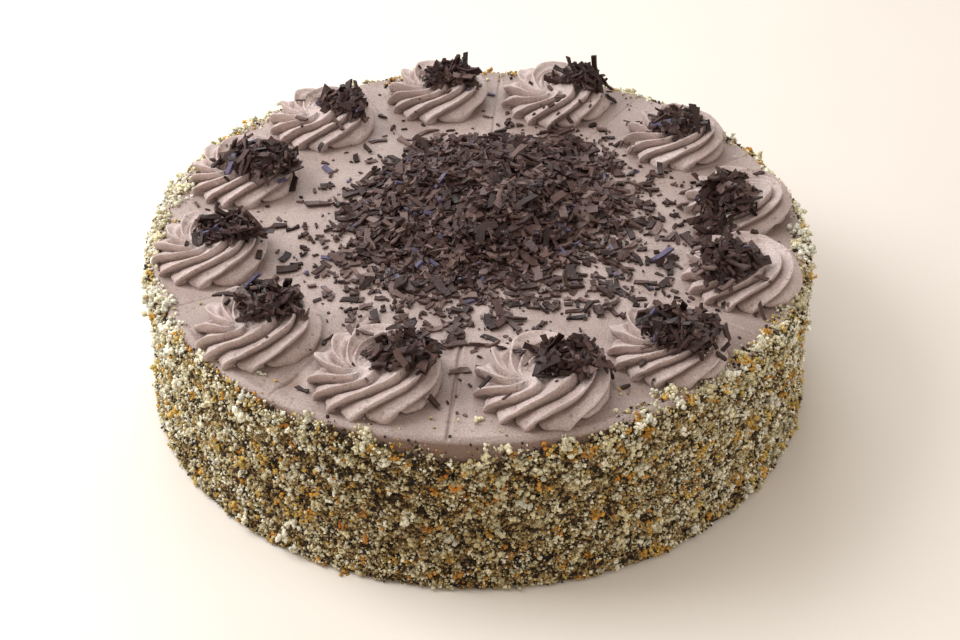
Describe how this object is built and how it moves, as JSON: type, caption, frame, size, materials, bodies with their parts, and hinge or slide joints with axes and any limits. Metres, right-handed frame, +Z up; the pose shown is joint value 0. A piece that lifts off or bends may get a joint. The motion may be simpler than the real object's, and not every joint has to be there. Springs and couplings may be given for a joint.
{
  "type": "chocolate cream cake",
  "caption": "Round chocolate cream torte with a crumb-coated side, a ring of piped cream rosettes on top, and chocolate shavings on the rosettes and heaped in the middle.",
  "frame": {"origin": "centre of the cake's underside, on the surface it stands on", "axes": "+Z up, and -Y towards the front as pictured"},
  "size_m": [0.2723, 0.2715, 0.0856],
  "materials": {
    "cream": "soft matte whipped cocoa cream",
    "crumbs": "dry rough crumbs, pale, amber and dark mixed",
    "chocolate": "dark chocolate, dull with a faint sheen"
  },
  "bodies": {
    "root": {"cake_body": "cream", "crumb_coat": "crumbs", "shavings_heap": "chocolate", "rosette_01": "cream", "rosette_02": "cream", "rosette_03": "cream", "rosette_04": "cream", "rosette_05": "cream", "rosette_06": "cream", "rosette_07": "cream", "rosette_08": "cream", "rosette_09": "cream", "rosette_10": "cream", "rosette_11": "cream", "rosette_12": "cream", "rosette_shavings_01": "chocolate", "rosette_shavings_02": "chocolate", "rosette_shavings_03": "chocolate", "rosette_shavings_04": "chocolate", "rosette_shavings_05": "chocolate", "rosette_shavings_06": "chocolate", "rosette_shavings_07": "chocolate", "rosette_shavings_08": "chocolate", "rosette_shavings_09": "chocolate", "rosette_shavings_10": "chocolate", "rosette_shavings_11": "chocolate", "rosette_shavings_12": "chocolate"}
  },
  "joints": []
}
